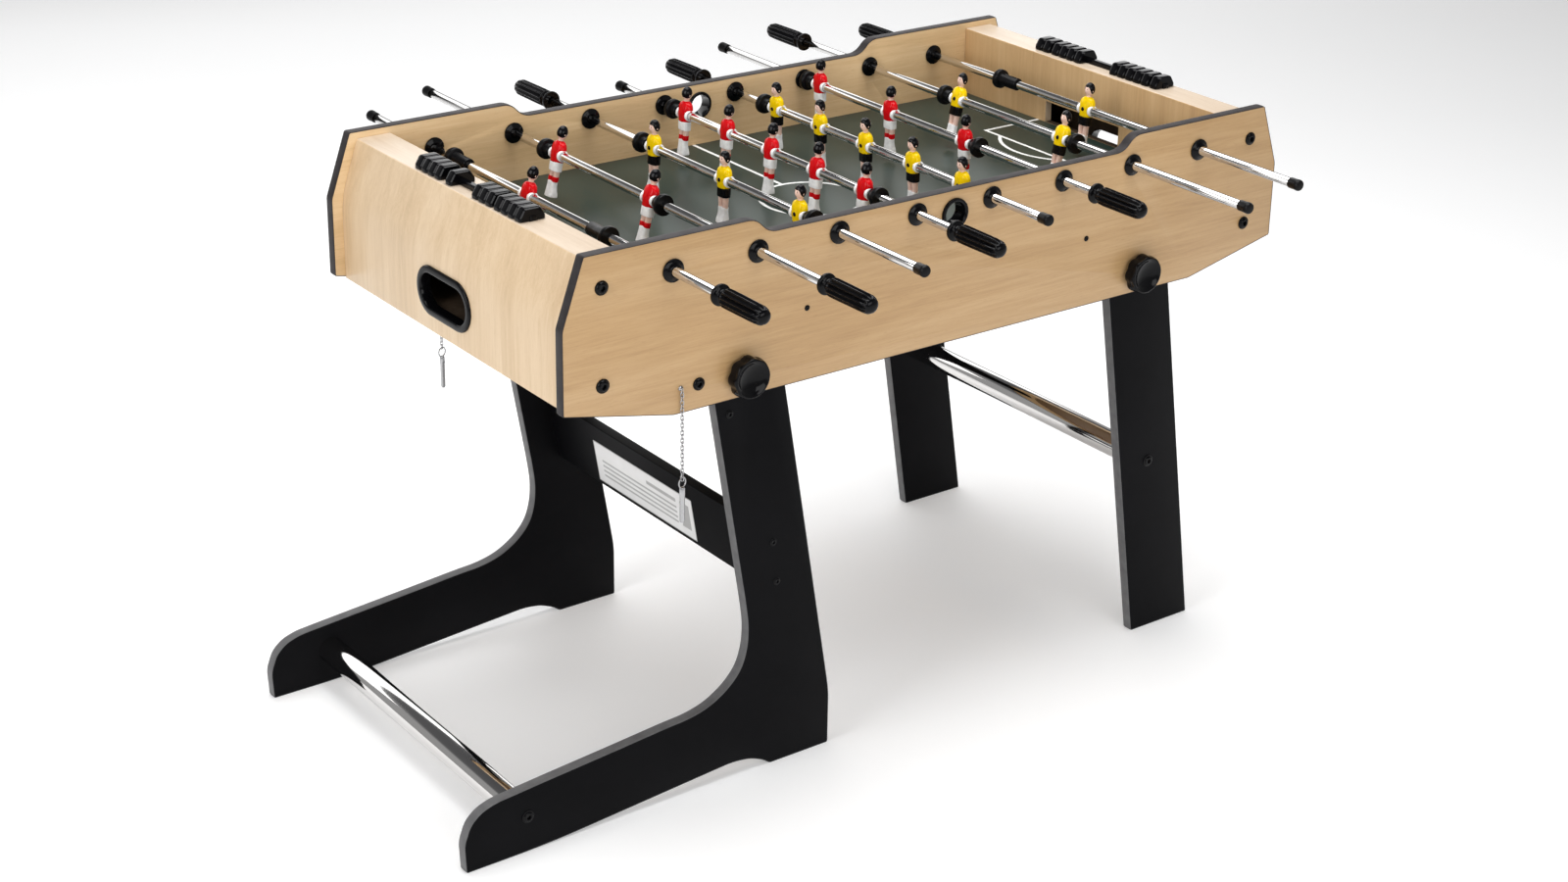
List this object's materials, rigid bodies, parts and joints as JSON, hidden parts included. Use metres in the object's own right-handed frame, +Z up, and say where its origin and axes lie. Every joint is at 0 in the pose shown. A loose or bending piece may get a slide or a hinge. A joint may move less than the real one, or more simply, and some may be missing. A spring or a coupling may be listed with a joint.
{
  "type": "foosball table",
  "caption": "Folding table football game: beech cabinet with eight player rods, score counters and ball pockets, on black L-shaped foot legs and straight prop legs.",
  "frame": {"origin": "on the floor, below the middle of the overall box", "axes": "+X along the pitch towards the prop legs, +Y across the pitch away from the red team's handles, +Z up"},
  "size_m": [1.356, 1.093, 0.8133],
  "materials": {
    "side_board": "satin beech-look laminate",
    "end_board": "satin pale beech-look laminate",
    "pitch": "smooth printed board",
    "leg_board": "satin black laminate",
    "chrome": "bright plated steel",
    "zinc": "plated chain and pin",
    "black_plastic": "moulded, semi-gloss",
    "red_player": "painted moulding",
    "yellow_player": "painted moulding"
  },
  "bodies": {
    "foot_frame": {"foot_leg_near": "leg_board", "foot_leg_far": "leg_board", "foot_tube": "chrome", "foot_stretcher": "leg_board"},
    "cabinet": {"side_panel_near": "side_board", "side_panel_far": "side_board", "end_box_left": "end_board", "end_box_right": "end_board", "playfield": "pitch", "score_rail_left": "black_plastic", "score_rail_right": "black_plastic"},
    "prop_frame": {"prop_leg_near": "leg_board", "prop_leg_far": "leg_board", "prop_tube": "chrome"},
    "knob_foot_near": {"knob_foot_near": "black_plastic"},
    "knob_foot_far": {"knob_foot_far": "black_plastic"},
    "knob_prop_near": {"knob_prop_near": "black_plastic"},
    "knob_prop_far": {"knob_prop_far": "black_plastic"},
    "lock_pin_near": {"lock_pin_near": "zinc"},
    "lock_pin_far": {"lock_pin_far": "zinc"},
    "score_counter_left": {"score_counter_left": "black_plastic"},
    "score_counter_right": {"score_counter_right": "black_plastic"},
    "rod_1": {"rod_1_tube": "chrome"},
    "rod_1_team": {"rod_1_handle": "black_plastic", "rod_1_player_1": "red_player"},
    "rod_2": {"rod_2_tube": "chrome"},
    "rod_2_team": {"rod_2_handle": "black_plastic", "rod_2_player_1": "red_player", "rod_2_player_2": "red_player"},
    "rod_3": {"rod_3_tube": "chrome"},
    "rod_3_team": {"rod_3_handle": "black_plastic", "rod_3_player_1": "yellow_player", "rod_3_player_2": "yellow_player", "rod_3_player_3": "yellow_player"},
    "rod_4": {"rod_4_tube": "chrome"},
    "rod_4_team": {"rod_4_handle": "black_plastic", "rod_4_player_1": "red_player", "rod_4_player_2": "red_player", "rod_4_player_3": "red_player", "rod_4_player_4": "red_player", "rod_4_player_5": "red_player"},
    "rod_5": {"rod_5_tube": "chrome"},
    "rod_5_team": {"rod_5_handle": "black_plastic", "rod_5_player_1": "yellow_player", "rod_5_player_2": "yellow_player", "rod_5_player_3": "yellow_player", "rod_5_player_4": "yellow_player", "rod_5_player_5": "yellow_player"},
    "rod_6": {"rod_6_tube": "chrome"},
    "rod_6_team": {"rod_6_handle": "black_plastic", "rod_6_player_1": "red_player", "rod_6_player_2": "red_player", "rod_6_player_3": "red_player"},
    "rod_7": {"rod_7_tube": "chrome"},
    "rod_7_team": {"rod_7_handle": "black_plastic", "rod_7_player_1": "yellow_player", "rod_7_player_2": "yellow_player"},
    "rod_8": {"rod_8_tube": "chrome"},
    "rod_8_team": {"rod_8_handle": "black_plastic", "rod_8_player_1": "yellow_player"}
  },
  "joints": [
    {"name": "cabinet_fold", "type": "hinge", "parent": "foot_frame", "child": "cabinet", "pos_m": [-0.268, -0.0055, 0.602], "axis": [0, -1, 0], "range_deg": [0, 90]},
    {"name": "prop_fold", "type": "hinge", "parent": "cabinet", "child": "prop_frame", "pos_m": [0.412, -0.0055, 0.602], "axis": [0, 1, 0], "range_deg": [0, 99.1]},
    {"name": "knob_foot_near_turn", "type": "hinge", "parent": "cabinet", "child": "knob_foot_near", "pos_m": [-0.268, -0.3225, 0.602], "axis": [0, -1, 0], "continuous": true},
    {"name": "knob_foot_far_turn", "type": "hinge", "parent": "cabinet", "child": "knob_foot_far", "pos_m": [-0.268, 0.3115, 0.602], "axis": [0, 1, 0], "continuous": true},
    {"name": "knob_prop_near_turn", "type": "hinge", "parent": "cabinet", "child": "knob_prop_near", "pos_m": [0.412, -0.3225, 0.602], "axis": [0, -1, 0], "continuous": true},
    {"name": "knob_prop_far_turn", "type": "hinge", "parent": "cabinet", "child": "knob_prop_far", "pos_m": [0.412, 0.3115, 0.602], "axis": [0, 1, 0], "continuous": true},
    {"name": "lock_pin_near_swing", "type": "hinge", "parent": "cabinet", "child": "lock_pin_near", "pos_m": [-0.363, -0.3145, 0.605], "axis": [0, 1, 0], "range_deg": [-45, 80]},
    {"name": "lock_pin_far_swing", "type": "hinge", "parent": "cabinet", "child": "lock_pin_far", "pos_m": [-0.363, 0.3035, 0.605], "axis": [0, 1, 0], "range_deg": [-45, 80]},
    {"name": "score_counter_left_slide", "type": "slide", "parent": "cabinet", "child": "score_counter_left", "axis": [0, 1, 0], "range_m": [-0.0512, 0.0122]},
    {"name": "score_counter_right_slide", "type": "slide", "parent": "cabinet", "child": "score_counter_right", "axis": [0, 1, 0], "range_m": [-0.0632, 0.0004]},
    {"name": "rod_1_slide", "type": "slide", "parent": "cabinet", "child": "rod_1", "axis": [0, 1, 0], "range_m": [-0.12, 0.046]},
    {"name": "rod_1_spin", "type": "hinge", "parent": "rod_1", "child": "rod_1_team", "pos_m": [-0.3739, 0.0315, 0.763], "axis": [0, 1, 0], "continuous": true},
    {"name": "rod_2_slide", "type": "slide", "parent": "cabinet", "child": "rod_2", "axis": [0, 1, 0], "range_m": [-0.187, 0.079]},
    {"name": "rod_2_spin", "type": "hinge", "parent": "rod_2", "child": "rod_2_team", "pos_m": [-0.2465, 0.0485, 0.763], "axis": [0, 1, 0], "continuous": true},
    {"name": "rod_3_slide", "type": "slide", "parent": "cabinet", "child": "rod_3", "axis": [0, 1, 0], "range_m": [-0.028, 0.126]},
    {"name": "rod_3_spin", "type": "hinge", "parent": "rod_3", "child": "rod_3_team", "pos_m": [-0.1191, -0.0545, 0.763], "axis": [0, 1, 0], "continuous": true},
    {"name": "rod_4_slide", "type": "slide", "parent": "cabinet", "child": "rod_4", "axis": [0, 1, 0], "range_m": [-0.055, 0.015]},
    {"name": "rod_4_spin", "type": "hinge", "parent": "rod_4", "child": "rod_4_team", "pos_m": [0.0083, 0.0145, 0.763], "axis": [0, 1, 0], "continuous": true},
    {"name": "rod_5_slide", "type": "slide", "parent": "cabinet", "child": "rod_5", "axis": [0, 1, 0], "range_m": [-0.004, 0.066]},
    {"name": "rod_5_spin", "type": "hinge", "parent": "rod_5", "child": "rod_5_team", "pos_m": [0.1357, -0.0365, 0.763], "axis": [0, 1, 0], "continuous": true},
    {"name": "rod_6_slide", "type": "slide", "parent": "cabinet", "child": "rod_6", "axis": [0, 1, 0], "range_m": [-0.152, 0.002]},
    {"name": "rod_6_spin", "type": "hinge", "parent": "rod_6", "child": "rod_6_team", "pos_m": [0.2631, 0.0695, 0.763], "axis": [0, 1, 0], "continuous": true},
    {"name": "rod_7_slide", "type": "slide", "parent": "cabinet", "child": "rod_7", "axis": [0, 1, 0], "range_m": [-0.09, 0.176]},
    {"name": "rod_7_spin", "type": "hinge", "parent": "rod_7", "child": "rod_7_team", "pos_m": [0.3905, -0.0485, 0.763], "axis": [0, 1, 0], "continuous": true},
    {"name": "rod_8_slide", "type": "slide", "parent": "cabinet", "child": "rod_8", "axis": [0, 1, 0], "range_m": [-0.012, 0.154]},
    {"name": "rod_8_spin", "type": "hinge", "parent": "rod_8", "child": "rod_8_team", "pos_m": [0.5179, -0.0765, 0.763], "axis": [0, 1, 0], "continuous": true}
  ],
  "couplings": [
    {"joint": "prop_fold", "follows": "cabinet_fold", "ratio": 1.1}
  ]
}
